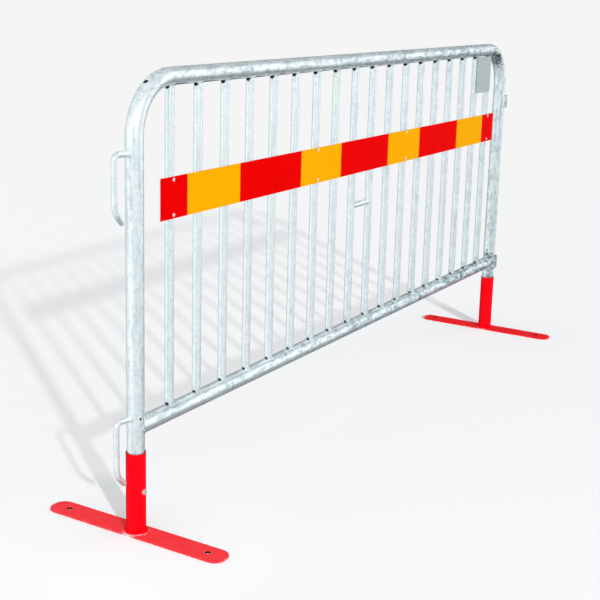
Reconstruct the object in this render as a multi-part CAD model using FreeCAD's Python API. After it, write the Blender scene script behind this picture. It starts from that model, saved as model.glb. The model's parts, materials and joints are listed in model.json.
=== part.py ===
import FreeCAD, Part
import math
import os

# Pedestrian barrier of galvanised tube: a bent frame with upright bars, hooks on one post and
# eyes on the other, a two-colour reflective strip, and two removable feet.
# Millimetres. +X runs along the barrier from the hooks to the eyes, +Y to the back, +Z up.
# The origin is on the ground, in the middle of the overall length.

# Frame
overall_height = 1100.0
post_spacing = 2190.0
tube_diameter = 42.4
tube_wall = 1.5
bend_radius = 130.0
bottom_rail_height = 266.0

# Upright bars
bar_count = 18
first_bar_offset = 131.0
bar_diameter = 22.0
bar_wall = 1.25
notch_radius = 4.5

# Short tube that ties the two middle bars
spacer_drop = 431.8
spacer_diameter = 17.0
spacer_wall = 1.5

# Blank label plate on the last two bars
label_top_gap = 1.0
label_height = 127.0
label_thickness = 1.5
label_first_overlap = 10.0
label_last_overlap = 2.0
label_corner_radius = 6.0

# Reflective strip
strip_drop = 281.3
strip_height = 100.0
strip_end_gap = 79.0
sheet_thickness = 1.5
film_thickness = 0.4
red_field = 304.0
yellow_field = 227.0
riveted_bars = (1, 7, 12, 18)
rivet_edge_distance = 8.0
rivet_shank_diameter = 4.8
rivet_hole_clearance = 0.05
rivet_head_diameter = 9.5
rivet_head_height = 1.6
rivet_bulb_diameter = 7.0
rivet_bulb_length = 4.0

# Hooks and eyes
upper_hook_drop = 167.7
lower_hook_rise = 24.0
hook_rod_diameter = 14.0
hook_gap = 42.8
hook_rise_angle = 6.0
hook_corner_radius = 12.0
hook_drop = 111.0
hook_tip_radius = 48.0
hook_tip_angle = 45.0
hook_tip_length = 18.0
eye_height = 45.0
eye_strap = 4.0
eye_inner_radius = 14.0
eye_gap = 17.8
eye_seat_gap = 0.6

# Feet
foot_length = 520.0
foot_width = 65.0
foot_thickness = 5.0
foot_corner_radius = 28.0
anchor_end_distance = 50.0
anchor_hole_diameter = 13.0
sleeve_length = 200.0
sleeve_wall = 1.5
sleeve_clearance = 1.45
foot_weld_leg = 5.0
post_end_clearance = 0.3

# Locking screw, with plain threads at their pitch diameter
lock_rise = 103.5
screw_diameter = 7.19
screw_length = 7.0
screw_socket_flats = 4.0
screw_socket_depth = 3.5
screw_tip_clearance = 0.3
thread_clearance = 0.05
nut_flats = 13.0
nut_height = 4.0
lock_hole_diameter = 8.5

# Vent holes of the galvanised tubes
bend_vent_diameter = 12.0
bend_vent_angle = 54.0
post_vent_diameter = 6.0
post_vent_gap = 14.0
front_vent_gap = 5.0
front_vent_angle = 19.0

# Places worked out from the sizes above
tube_radius = tube_diameter / 2
bar_radius = bar_diameter / 2
rod_radius = hook_rod_diameter / 2
hook_reach = tube_radius + hook_gap + rod_radius
eye_reach = tube_radius + eye_gap
eye_outer_radius = eye_inner_radius + eye_strap
overall_length = hook_reach + rod_radius + post_spacing + eye_reach + eye_outer_radius
left_post_x = hook_reach + rod_radius - overall_length / 2
right_post_x = left_post_x + post_spacing
top_rail_height = overall_height - tube_radius
bar_pitch = (post_spacing - 2 * first_bar_offset) / (bar_count - 1)
post_foot_height = foot_thickness + post_end_clearance
sleeve_inner_radius = tube_radius + sleeve_clearance
sleeve_outer_radius = sleeve_inner_radius + sleeve_wall
sheet_back_y = -bar_radius
film_back_y = sheet_back_y - sheet_thickness
film_front_y = film_back_y - film_thickness
strip_centre_height = top_rail_height - strip_drop
spacer_height = top_rail_height - spacer_drop
upper_hook_height = top_rail_height - upper_hook_drop
lower_hook_height = bottom_rail_height + lower_hook_rise
anchor_hole_spacing = foot_length - 2 * anchor_end_distance
screw_height = foot_thickness + lock_rise
eye_drop = rod_radius + eye_seat_gap + eye_height / 2


def vec(x, y, z):
    return FreeCAD.Vector(x, y, z)


X_AXIS = vec(1, 0, 0)
Y_AXIS = vec(0, 1, 0)
Z_AXIS = vec(0, 0, 1)


def bar_x(number):
    """X of a bar's axis; bars are numbered from 1 at the hooks."""
    return left_post_x + first_bar_offset + (number - 1) * bar_pitch


def rod(start, end, radius):
    """Solid round rod between two points."""
    along = end - start
    return Part.makeCylinder(radius, along.Length, start, along)


def swept(path, start, direction, radius):
    """Round section carried along a path of lines and arcs."""
    circle = Part.Wire([Part.makeCircle(radius, start, direction)])
    return Part.Wire(path).makePipeShell([circle], True, False)


def frame_solid(radius, foot_z):
    """The bent frame as a solid rod: left post, bend, top rail, bend, right post."""
    low = top_rail_height - bend_radius
    shift = bend_radius * math.sin(math.radians(45))
    left_centre = left_post_x + bend_radius
    right_centre = right_post_x - bend_radius
    left_middle = vec(left_centre - shift, 0, low + shift)
    right_middle = vec(right_centre + shift, 0, low + shift)
    points = [
        vec(left_post_x, 0, foot_z),
        vec(left_post_x, 0, low),
        vec(left_centre, 0, top_rail_height),
        vec(right_centre, 0, top_rail_height),
        vec(right_post_x, 0, low),
        vec(right_post_x, 0, foot_z),
    ]
    path = [
        Part.makeLine(points[0], points[1]),
        Part.Arc(points[1], left_middle, points[2]).toShape(),
        Part.makeLine(points[2], points[3]),
        Part.Arc(points[3], right_middle, points[4]).toShape(),
        Part.makeLine(points[4], points[5]),
    ]
    return swept(path, points[0], Z_AXIS, radius)


def bottom_rail_solid(radius):
    """The bottom rail as a solid rod from post axis to post axis."""
    start = vec(left_post_x, 0, bottom_rail_height)
    return rod(start, vec(right_post_x, 0, bottom_rail_height), radius)


def bend_vent():
    """Drill for the vent hole on the outside of the left bend."""
    angle = math.radians(bend_vent_angle)
    centre = vec(left_post_x + bend_radius, 0, top_rail_height - bend_radius)
    outward = vec(-math.cos(angle), 0, math.sin(angle))
    inner = centre + outward * bend_radius
    return rod(inner, inner + outward * 2 * tube_radius, bend_vent_diameter / 2)


def post_vents():
    """Drills for the pair of small vent holes above the bottom rail in each post."""
    drills = []
    first = bottom_rail_height + tube_radius + post_vent_gap
    for post_x, side in ((left_post_x, 1), (right_post_x, -1)):
        for z in (first, first + post_vent_gap):
            start = vec(post_x, 0, z)
            end = vec(post_x + side * 2 * tube_radius, 0, z)
            drills.append(rod(start, end, post_vent_diameter / 2))
    return drills


def front_vent():
    """Drill for the vent hole in the front of the left post, close above the bottom rail."""
    angle = math.radians(front_vent_angle)
    start = vec(left_post_x, 0, bottom_rail_height + tube_radius + front_vent_gap)
    outward = vec(-math.sin(angle), -math.cos(angle), 0)
    return rod(start, start + outward * 2 * tube_radius, post_vent_diameter / 2)


def frame_tube():
    outer = frame_solid(tube_radius, post_foot_height)
    inner = frame_solid(tube_radius - tube_wall, post_foot_height)
    return outer.cut(inner).cut([bend_vent(), front_vent()] + post_vents())


def bottom_rail(frame_outer):
    tube = bottom_rail_solid(tube_radius).cut(bottom_rail_solid(tube_radius - tube_wall))
    return tube.cut(frame_outer)


def rivet_heights():
    half = strip_height / 2 - rivet_edge_distance
    return (strip_centre_height - half, strip_centre_height + half)


def rivet_drills(x):
    """Drills along Y for the two rivets on one bar, through film, sheet and the bar's front."""
    radius = rivet_shank_diameter / 2 + rivet_hole_clearance
    front = film_front_y - film_thickness
    return [rod(vec(x, front, z), vec(x, 0, z), radius) for z in rivet_heights()]


def bar(number, rails):
    """One upright tube with its ends shaped to the rails and a vent notch at each end."""
    x = bar_x(number)
    start = vec(x, 0, bottom_rail_height)
    end = vec(x, 0, top_rail_height)
    tube = rod(start, end, bar_radius).cut(rod(start, end, bar_radius - bar_wall))
    seat = math.sqrt(tube_radius ** 2 - notch_radius ** 2)
    cutters = list(rails)
    for z in (bottom_rail_height + seat, top_rail_height - seat):
        cutters.append(rod(vec(x - 2 * bar_radius, 0, z), vec(x, 0, z), notch_radius))
    if number in riveted_bars:
        cutters += rivet_drills(x)
    return tube.cut(cutters)


def centre_spacer():
    """Short tube between the two middle bars, its ends shaped to both."""
    first = bar_count // 2
    start = vec(bar_x(first), 0, spacer_height)
    end = vec(bar_x(first + 1), 0, spacer_height)
    radius = spacer_diameter / 2
    tube = rod(start, end, radius).cut(rod(start, end, radius - spacer_wall))
    bars = []
    for number in (first, first + 1):
        foot = vec(bar_x(number), 0, bottom_rail_height)
        bars.append(rod(foot, vec(bar_x(number), 0, top_rail_height), bar_radius))
    return tube.cut(bars)


def rounded_plate(x0, x1, y0, y1, z0, z1, thin_axis, radius):
    """Flat plate with the four corners rounded in its own plane."""
    plate = Part.makeBox(x1 - x0, y1 - y0, z1 - z0, vec(x0, y0, z0))
    edges = [edge for edge in plate.Edges if is_along(edge, thin_axis)]
    extents = sorted((x1 - x0, y1 - y0, z1 - z0))
    return plate.makeFillet(min(radius, 0.49 * extents[1]), edges)


def is_along(edge, axis):
    direction = edge.Vertexes[1].Point - edge.Vertexes[0].Point
    return abs(direction.normalize().dot(axis)) > 0.999


def label_plate():
    x0 = bar_x(bar_count - 1) - label_first_overlap
    x1 = bar_x(bar_count) + label_last_overlap
    z1 = top_rail_height - tube_radius - label_top_gap
    z0 = z1 - label_height
    y0 = -bar_radius - label_thickness
    return rounded_plate(x0, x1, y0, -bar_radius, z0, z1, Y_AXIS, label_corner_radius)


def strip_box(x0, x1, y0, y1):
    z0 = strip_centre_height - strip_height / 2
    return Part.makeBox(x1 - x0, y1 - y0, strip_height, vec(x0, y0, z0))


def strip_ends():
    return left_post_x + strip_end_gap, right_post_x - strip_end_gap


def all_rivet_drills():
    drills = []
    for number in riveted_bars:
        drills += rivet_drills(bar_x(number))
    return drills


def strip_backing():
    start, end = strip_ends()
    return strip_box(start, end, film_back_y, sheet_back_y).cut(all_rivet_drills())


def sheeting():
    """Film fields laid out from a red one in the middle; the last ones are cut at the ends."""
    start, end = strip_ends()
    middle = (start + end) / 2
    drills = all_rivet_drills()
    fields = {"red": [], "yellow": []}

    def lay(colour, x0, x1):
        x0 = max(x0, start)
        x1 = min(x1, end)
        field = strip_box(x0, x1, film_front_y, film_back_y).cut(drills)
        fields[colour] += field.Solids

    lay("red", middle - red_field / 2, middle + red_field / 2)
    reach = red_field / 2
    colour = "yellow"
    while middle + reach < end:
        length = yellow_field if colour == "yellow" else red_field
        lay(colour, middle + reach, middle + reach + length)
        lay(colour, middle - reach - length, middle - reach)
        reach += length
        colour = "red" if colour == "yellow" else "yellow"
    return fields


def rivet(x, z):
    """Blind rivet: domed head, shank, and the bulb inside the bar."""
    head_radius = rivet_head_diameter / 2
    bulb_radius = rivet_bulb_diameter / 2
    sphere_radius = (head_radius ** 2 + rivet_head_height ** 2) / (2 * rivet_head_height)
    dome_centre = vec(x, film_front_y - rivet_head_height + sphere_radius, z)
    dome = Part.makeSphere(sphere_radius, dome_centre)
    front = vec(x, film_front_y - rivet_head_height, z)
    head = dome.common(rod(front, vec(x, film_front_y, z), head_radius))
    bore_radius = bar_radius - bar_wall
    bulb_front = -math.sqrt(bore_radius ** 2 - bulb_radius ** 2)
    bulb_back = bulb_front + rivet_bulb_length
    shank = rod(vec(x, film_front_y, z), vec(x, bulb_back, z), rivet_shank_diameter / 2)
    bulb = rod(vec(x, bulb_front, z), vec(x, bulb_back, z), bulb_radius)
    return head.fuse([shank, bulb]).removeSplitter()


def strip_rivets():
    return [rivet(bar_x(number), z) for number in riveted_bars for z in rivet_heights()]


def hook(root_height, frame_outer):
    """Bent rod: out from the post and a little up, straight down, then curved back to the post."""
    x = left_post_x - hook_reach
    rise = math.radians(hook_rise_angle)
    outward = vec(-math.cos(rise), 0, math.sin(rise))
    start = vec(left_post_x, 0, root_height)
    corner = start + outward * (hook_reach / math.cos(rise))
    corner_turn = math.radians(90) + rise
    trim = hook_corner_radius * math.tan(corner_turn / 2)
    corner_in = corner - outward * trim
    corner_out = corner - Z_AXIS * trim
    corner_centre = corner_out + X_AXIS * hook_corner_radius
    to_corner = (corner - corner_centre).normalize()
    corner_middle = corner_centre + to_corner * hook_corner_radius
    bend_start = corner - Z_AXIS * hook_drop
    bend_centre = bend_start + X_AXIS * hook_tip_radius
    bend_middle = bend_centre + around(hook_tip_angle / 2) * hook_tip_radius
    bend_end = bend_centre + around(hook_tip_angle) * hook_tip_radius
    turn = math.radians(hook_tip_angle)
    tip = bend_end + vec(math.sin(turn), 0, -math.cos(turn)) * hook_tip_length
    path = [
        Part.makeLine(start, corner_in),
        Part.Arc(corner_in, corner_middle, corner_out).toShape(),
        Part.makeLine(corner_out, bend_start),
        Part.Arc(bend_start, bend_middle, bend_end).toShape(),
        Part.makeLine(bend_end, tip),
    ]
    return swept(path, start, outward, rod_radius).cut(frame_outer)


def around(degrees):
    """Direction that starts at -X and turns downwards by an angle."""
    angle = math.radians(degrees)
    return vec(-math.cos(angle), 0, -math.sin(angle))


def eye(centre_height, frame_outer):
    """Flat strap bent to a U, its two legs shaped to the post."""
    centre_x = right_post_x + eye_reach
    low = vec(centre_x, 0, centre_height - eye_height / 2)
    base = vec(right_post_x, 0, low.z)

    def stadium(radius):
        corner = base - Y_AXIS * radius
        block = Part.makeBox(eye_reach, 2 * radius, eye_height, corner)
        return block.fuse(Part.makeCylinder(radius, eye_height, low)).removeSplitter()

    return stadium(eye_outer_radius).cut(stadium(eye_inner_radius)).cut(frame_outer)


def foot_plate(post_x):
    half = foot_width / 2
    plate = rounded_plate(post_x - half, post_x + half, -foot_length / 2, foot_length / 2,
                          0, foot_thickness, Z_AXIS, foot_corner_radius)
    holes = []
    for side in (-1, 1):
        centre = vec(post_x, side * anchor_hole_spacing / 2, 0)
        holes.append(Part.makeCylinder(anchor_hole_diameter / 2, foot_thickness, centre))
    return plate.cut(holes)


def foot_sleeve(post_x, hole_diameter):
    base = vec(post_x, 0, foot_thickness)
    tube = Part.makeCylinder(sleeve_outer_radius, sleeve_length, base)
    tube = tube.cut(Part.makeCylinder(sleeve_inner_radius, sleeve_length, base))
    start = vec(post_x, 0, screw_height)
    end = vec(post_x, -2 * sleeve_outer_radius, screw_height)
    return tube.cut(rod(start, end, hole_diameter / 2))


def foot_weld(post_x):
    """Fillet weld round the foot of the sleeve."""
    base = vec(post_x, 0, foot_thickness)
    wide = sleeve_outer_radius + foot_weld_leg
    cone = Part.makeCone(wide, sleeve_outer_radius, foot_weld_leg, base)
    return cone.cut(Part.makeCylinder(sleeve_outer_radius, foot_weld_leg, base))


def hexagon_prism(flats, centre, direction, length):
    """Prism of six sides, its section square to the direction."""
    corner_radius = flats / math.sqrt(3)
    side = X_AXIS
    other = direction.cross(side)
    points = []
    for step in range(7):
        angle = math.radians(60 * step)
        points.append(centre + (side * math.cos(angle) + other * math.sin(angle)) * corner_radius)
    return Part.Face(Part.makePolygon(points)).extrude(direction * length)


def left_lock_nut():
    """Hexagon nut welded to the sleeve, its inner face shaped to the sleeve."""
    centre = vec(left_post_x, 0, screw_height)
    front = -Y_AXIS
    nut = hexagon_prism(nut_flats, centre, front, sleeve_outer_radius + nut_height)
    tall = vec(left_post_x, 0, screw_height - nut_flats)
    sleeve = Part.makeCylinder(sleeve_outer_radius, 2 * nut_flats, tall)
    bore = rod(centre, centre + front * 3 * sleeve_outer_radius, screw_diameter / 2 + thread_clearance)
    return nut.cut([sleeve, bore])


def left_locking_screw():
    """Set screw in the nut, with a hexagon socket in its outer end."""
    front = -Y_AXIS
    tip = vec(left_post_x, 0, screw_height) + front * (tube_radius + screw_tip_clearance)
    end = tip + front * screw_length
    socket = hexagon_prism(screw_socket_flats, end, Y_AXIS, screw_socket_depth)
    return rod(tip, end, screw_diameter / 2).cut(socket)


def build():
    frame_outer = frame_solid(tube_radius, post_foot_height)
    rails = [frame_outer, bottom_rail_solid(tube_radius)]
    fields = sheeting()
    nodes = {
        "frame_tube": frame_tube(),
        "bottom_rail": bottom_rail(frame_outer),
        "centre_spacer": centre_spacer(),
        "label_plate": label_plate(),
        "strip_backing": strip_backing(),
        "red_sheeting": Part.makeCompound(fields["red"]),
        "yellow_sheeting": Part.makeCompound(fields["yellow"]),
        "strip_rivets": Part.makeCompound(strip_rivets()),
        "upper_hook": hook(upper_hook_height, frame_outer),
        "lower_hook": hook(lower_hook_height, frame_outer),
        "upper_eye": eye(upper_hook_height - eye_drop, frame_outer),
        "lower_eye": eye(lower_hook_height - eye_drop, frame_outer),
        "left_foot_plate": foot_plate(left_post_x),
        "left_foot_sleeve": foot_sleeve(left_post_x, lock_hole_diameter),
        "left_foot_weld": foot_weld(left_post_x),
        "left_lock_nut": left_lock_nut(),
        "left_locking_screw": left_locking_screw(),
        "right_foot_plate": foot_plate(right_post_x),
        "right_foot_sleeve": foot_sleeve(right_post_x, lock_hole_diameter),
        "right_foot_weld": foot_weld(right_post_x),
    }
    for number in range(1, bar_count + 1):
        nodes["bar_%02d" % number] = bar(number, rails)
    return nodes


def export(nodes):
    os.makedirs("parts", exist_ok=True)
    for name, shape in nodes.items():
        solids = shape.Solids
        kept = solids[0] if len(solids) == 1 else Part.makeCompound(solids)
        kept.exportStep("parts/%s.step" % name)
        box = kept.BoundBox
        print("%-20s solids %2d  volume %10.1f  valid %s  x %8.1f %8.1f  y %7.1f %6.1f  z %7.1f %7.1f"
              % (name, len(solids), kept.Volume, kept.isValid(),
                 box.XMin, box.XMax, box.YMin, box.YMax, box.ZMin, box.ZMax))


export(build())
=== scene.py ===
import json
import math

import bmesh
import bpy
import numpy as np
from bpy.props import FloatProperty, FloatVectorProperty, IntProperty, PointerProperty
from mathutils import Matrix, Vector

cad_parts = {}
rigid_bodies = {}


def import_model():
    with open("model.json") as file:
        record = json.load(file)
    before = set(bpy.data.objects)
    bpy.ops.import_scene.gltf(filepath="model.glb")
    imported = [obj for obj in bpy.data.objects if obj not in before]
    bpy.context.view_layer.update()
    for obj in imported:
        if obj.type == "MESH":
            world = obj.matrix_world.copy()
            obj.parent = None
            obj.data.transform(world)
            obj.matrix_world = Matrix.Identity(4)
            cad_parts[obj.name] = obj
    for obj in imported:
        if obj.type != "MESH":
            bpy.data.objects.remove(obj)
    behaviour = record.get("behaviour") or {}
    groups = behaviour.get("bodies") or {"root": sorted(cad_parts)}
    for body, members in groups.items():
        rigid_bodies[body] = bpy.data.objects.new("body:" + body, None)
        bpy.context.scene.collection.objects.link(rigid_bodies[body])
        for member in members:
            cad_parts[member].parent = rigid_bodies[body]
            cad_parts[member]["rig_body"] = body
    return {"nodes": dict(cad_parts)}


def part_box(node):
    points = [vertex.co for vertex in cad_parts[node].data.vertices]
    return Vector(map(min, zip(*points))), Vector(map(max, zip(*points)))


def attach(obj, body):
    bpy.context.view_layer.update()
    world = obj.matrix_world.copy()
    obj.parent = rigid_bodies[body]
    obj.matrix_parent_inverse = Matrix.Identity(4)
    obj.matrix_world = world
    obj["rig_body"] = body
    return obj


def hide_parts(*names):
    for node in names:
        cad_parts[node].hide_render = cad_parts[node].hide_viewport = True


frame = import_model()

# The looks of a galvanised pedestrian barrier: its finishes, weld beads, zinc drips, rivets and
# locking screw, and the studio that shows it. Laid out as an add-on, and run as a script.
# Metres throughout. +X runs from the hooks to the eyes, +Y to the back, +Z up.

bl_info = {
    "name": "Pedestrian barrier",
    "version": (1, 0, 0),
    "blender": (4, 5, 0),
    "location": "View3D > Sidebar > Barrier",
    "description": "Finishes, welds and small parts of a galvanised pedestrian barrier",
    "category": "Object",
}

MM = 0.001
X_AXIS, Y_AXIS, Z_AXIS = np.eye(3)
BAR_COUNT = sum(name.startswith("bar_") for name in frame["nodes"])
SIDES = ("left", "right")

# A hook's rod meets the post this far below the top of its box.
HOOK_ROOT_DROP = 10.9 * MM

# A foot plate's corner radius, and how far its holes stand from its ends.
PLATE_CORNER = 28 * MM
HOLE_INSET = 50 * MM

# Bars with rivets, counted from 0.
RIVETED_BARS = (0, 6, 11, 17)

# Thread of the locking screw, and the half width of its socket.
THREAD_PITCH = 1.25 * MM
THREAD_DEPTH = 0.46 * MM
SOCKET_HALF_FLATS = 2.0 * MM
SOCKET_DEPTH = 3.5 * MM


# Places read from the frame

def corners(node):
    """Lowest and highest corner of a CAD node, as arrays."""
    low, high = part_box(node)
    return np.array(low), np.array(high)


def middle(node):
    """Middle of a CAD node's box."""
    low, high = corners(node)
    return (low + high) / 2


def bar_name(number):
    return "bar_%02d" % number


class Measures:
    """Axes and radii of the round members, worked out from the boxes of their nodes."""

    def __init__(self):
        tube_low, tube_high = corners("frame_tube")
        rail_low, rail_high = corners("bottom_rail")
        bar_low, bar_high = corners("bar_01")
        self.tube_radius = (rail_high[2] - rail_low[2]) / 2
        self.left_x = tube_low[0] + self.tube_radius
        self.right_x = tube_high[0] - self.tube_radius
        self.top_z = tube_high[2] - self.tube_radius
        self.bottom_z = (rail_low[2] + rail_high[2]) / 2
        self.bar_radius = (bar_high[0] - bar_low[0]) / 2
        self.bar_x = [middle(bar_name(n))[0] for n in range(1, BAR_COUNT + 1)]
        self.post_x = {"left": self.left_x, "right": self.right_x}
        self.sleeve_radius = {side: half_width(side + "_foot_sleeve") for side in SIDES}
        self.plate_top = corners("left_foot_plate")[1][2]


def half_width(node):
    low, high = corners(node)
    return (high[0] - low[0]) / 2


AT = Measures()


# Sizes and colours that a user would change

def colour_setting(name, description, default):
    return FloatVectorProperty(name=name, description=description, default=default, size=3,
                               subtype="COLOR")


def length_setting(name, description, default):
    return FloatProperty(name=name, description=description, default=default, unit="LENGTH")


def share_setting(name, description, default):
    return FloatProperty(name=name, description=description, default=default, subtype="FACTOR")


def angle_setting(name, description, default):
    return FloatProperty(name=name, description=description, default=math.radians(default),
                         unit="ROTATION", subtype="ANGLE")


class ZincSettings(bpy.types.PropertyGroup):
    """Hot-dip zinc on the frame."""

    bright: colour_setting("Bright zinc", "Colour of clean zinc", (0.86, 0.935, 0.95))
    dull: colour_setting("Dull zinc", "Colour of the dull grey patches", (0.19, 0.27, 0.31))
    patch_size: length_setting("Patch size", "Width of the dull patches", 45 * MM)
    crystal_size: length_setting("Crystal size", "Width of one zinc crystal", 7 * MM)
    roughness: share_setting("Roughness", "Roughness of clean zinc", 0.24)
    # Near-black colour of the painted shade and dark reflection inside the bend at the eyes, and of
    # the painted shade in the bars' bores and round their vent notches.
    inner_shade: colour_setting("Ash", "Colour of the ash inside the far bend", (0.014, 0.022, 0.026))
    # Painted shade: share of dull colour and roughness added towards the eyes, where less light
    # falls.
    far_shade: share_setting("Far dullness", "Extra dull share at the eyes", 0.11)
    bend_radius: length_setting("Bend radius", "Radius of the frame's bends", 130 * MM)


class PaintSettings(bpy.types.PropertyGroup):
    """Paint on the feet."""

    red: colour_setting("Red", "Colour of the paint", (0.72, 0.001, 0.006))
    bare: colour_setting("Bare metal", "Colour where the paint is gone", (0.74, 0.77, 0.78))
    chip_size: length_setting("Chip size", "Width of a usual chip", 3.5 * MM)
    edge_radius: length_setting("Edge radius", "Rounding of the plate's edges", 0.8 * MM)
    # Painted light: lighter red for the plate's top face, where light from above falls.
    painted_top_light: colour_setting("Faded paint", "Colour of paint bleached on top", (1.0, 0.15, 0.17))
    # Painted shade inside the sleeves and the holes.
    inside: colour_setting("Inside", "Colour inside the sleeves and the holes",
                           (0.016, 0.008, 0.008))


class FilmSettings(bpy.types.PropertyGroup):
    """Reflective film on the strip."""

    red: colour_setting("Red film", "Colour of the red fields", (0.565, 0.0, 0.0))
    yellow: colour_setting("Yellow film", "Colour of the yellow fields", (0.655, 0.285, 0.0))
    cell_size: length_setting("Cell size", "Width of one cell of the film", 3.2 * MM)


class WeldSettings(bpy.types.PropertyGroup):
    """Weld beads and drips of zinc."""

    bead_radius: length_setting("Bead radius", "Radius of a bead on a bar's end", 2.7 * MM)
    ripple_pitch: length_setting("Ripple pitch", "Distance between the ripples", 2.6 * MM)
    bead_reach: angle_setting("Bead reach", "Angle that a bead covers on a bar", 124)
    foot_bead_radius: length_setting("Foot bead radius", "Radius of a foot's bead", 4.0 * MM)
    seed: IntProperty(name="Seed", description="Start of the random unevenness", default=7)


class StudioSettings(bpy.types.PropertyGroup):
    """Floor, lights and camera."""

    pale: colour_setting("Pale", "Colour of the floor and the backdrop", (0.913, 0.913, 0.913))
    floor_radius: length_setting("Floor radius", "Radius of the floor", 28.0)
    sun_strength: FloatProperty(name="Sun strength", description="Strength of the sun lamp",
                                default=2.6)
    sun_heading: FloatVectorProperty(name="Sun heading", description="The way the sun's light goes",
                                     default=(1.50, 1.98, -1.0), size=3, subtype="DIRECTION")
    camera_place: FloatVectorProperty(name="Camera place", description="Where the camera stands",
                                      default=(-3.1611, -1.6509, 1.2754), size=3,
                                      subtype="TRANSLATION", unit="LENGTH")
    camera_yaw: angle_setting("Camera yaw", "Turn from +Y towards +X", 57.933)
    camera_pitch: angle_setting("Camera pitch", "Tilt below the horizon", 12.827)
    camera_roll: angle_setting("Camera roll", "Turn about the line of sight", 1.148)
    camera_lens: FloatProperty(name="Lens", description="Focal length in millimetres",
                               default=71.237)
    camera_shift: FloatVectorProperty(name="Camera shift", description="Shift of the lens",
                                      default=(0.0583, -0.0663), size=2)


# Shader maths

def arithmetic(operation, swapped=False):
    """A Python operator that adds one Math node."""

    def operator(self, *others):
        values = (self, *others)
        return self.math(operation, *(reversed(values) if swapped else values))

    return operator


class Wire:
    """A node's output that takes part in Python sums; each sum adds one Math node."""

    def __init__(self, tree, socket=None):
        self.tree = tree
        self.socket = socket

    def node(self, kind, settings=None, inputs=None, output=0):
        """Adds a node of a kind: its settings first, then values or links for its sockets."""
        made = self.tree.nodes.new(kind)
        for name, value in (settings or {}).items():
            setattr(made, name, value)
        feed(made, inputs or {})
        return Wire(self.tree, made.outputs[output])

    def math(self, operation, *values):
        return self.node("ShaderNodeMath", {"operation": operation}, dict(enumerate(values)))

    __add__ = __radd__ = arithmetic("ADD")
    __mul__ = __rmul__ = arithmetic("MULTIPLY")
    __sub__ = arithmetic("SUBTRACT")
    __rsub__ = arithmetic("SUBTRACT", swapped=True)
    __truediv__ = arithmetic("DIVIDE")
    __pow__ = arithmetic("POWER")
    __abs__ = arithmetic("ABSOLUTE")
    least = arithmetic("MINIMUM")
    most = arithmetic("MAXIMUM")

    def ease(self, low, high):
        """0 below low, 1 above high, and an S-shaped curve between them."""
        inputs = {"Value": self, "From Min": low, "From Max": high}
        return self.node("ShaderNodeMapRange", {"interpolation_type": "SMOOTHSTEP"}, inputs)

    def parts(self):
        """The three numbers of a vector."""
        first = self.node("ShaderNodeSeparateXYZ", inputs={0: self})
        outputs = first.socket.node.outputs
        return [Wire(self.tree, outputs[i]) for i in range(3)]

    def scaled(self, scale):
        """This vector times a scale for each axis."""
        return self.node("ShaderNodeMapping", inputs={"Vector": self, "Scale": scale})

    def noise(self, size, detail=3.0, roughness=0.55):
        """Cloudy noise around 0.5 whose lumps are about this wide."""
        inputs = {"Vector": self, "Scale": 1 / size, "Detail": detail, "Roughness": roughness}
        return self.node("ShaderNodeTexNoise", inputs=inputs)

    def cells(self, size, output=0):
        """Distance to the nearest of scattered points that are about this far apart."""
        inputs = {"Vector": self, "Scale": 1 / size}
        return self.node("ShaderNodeTexVoronoi", inputs=inputs, output=output)

    def cell_tone(self, size):
        """One random number from 0 to 1 for each scattered cell of about this width."""
        return self.cells(size, output=1).parts()[0]

    def blend(self, colour_a, colour_b):
        """Colour a where this is 0 and colour b where it is 1."""
        colours = {0: self, 6: as_colour(colour_a), 7: as_colour(colour_b)}
        return self.node("ShaderNodeMix", {"data_type": "RGBA"}, colours, output=2)

    def bump(self, height, depth, strength=1.0):
        """Surface normal over a height from 0 to 1 that stands for this depth."""
        inputs = {"Height": height, "Distance": depth, "Strength": strength}
        return self.node("ShaderNodeBump", inputs=inputs)


def as_colour(value):
    return value if isinstance(value, Wire) else (*value, 1.0)


def new_material(name):
    """A material with its shader and output, and a wire with the object's coordinates."""
    material = bpy.data.materials.new(name)
    material.use_nodes = True
    tree = material.node_tree
    shader = tree.nodes["Principled BSDF"]
    place = Wire(tree).node("ShaderNodeTexCoord", output=3)
    return material, shader, place


def feed(node, sockets):
    """Gives a node's sockets their plain values or their wires."""
    for name, value in sockets.items():
        if isinstance(value, Wire):
            value.tree.links.new(value.socket, node.inputs[name])
        else:
            node.inputs[name].default_value = value


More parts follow.
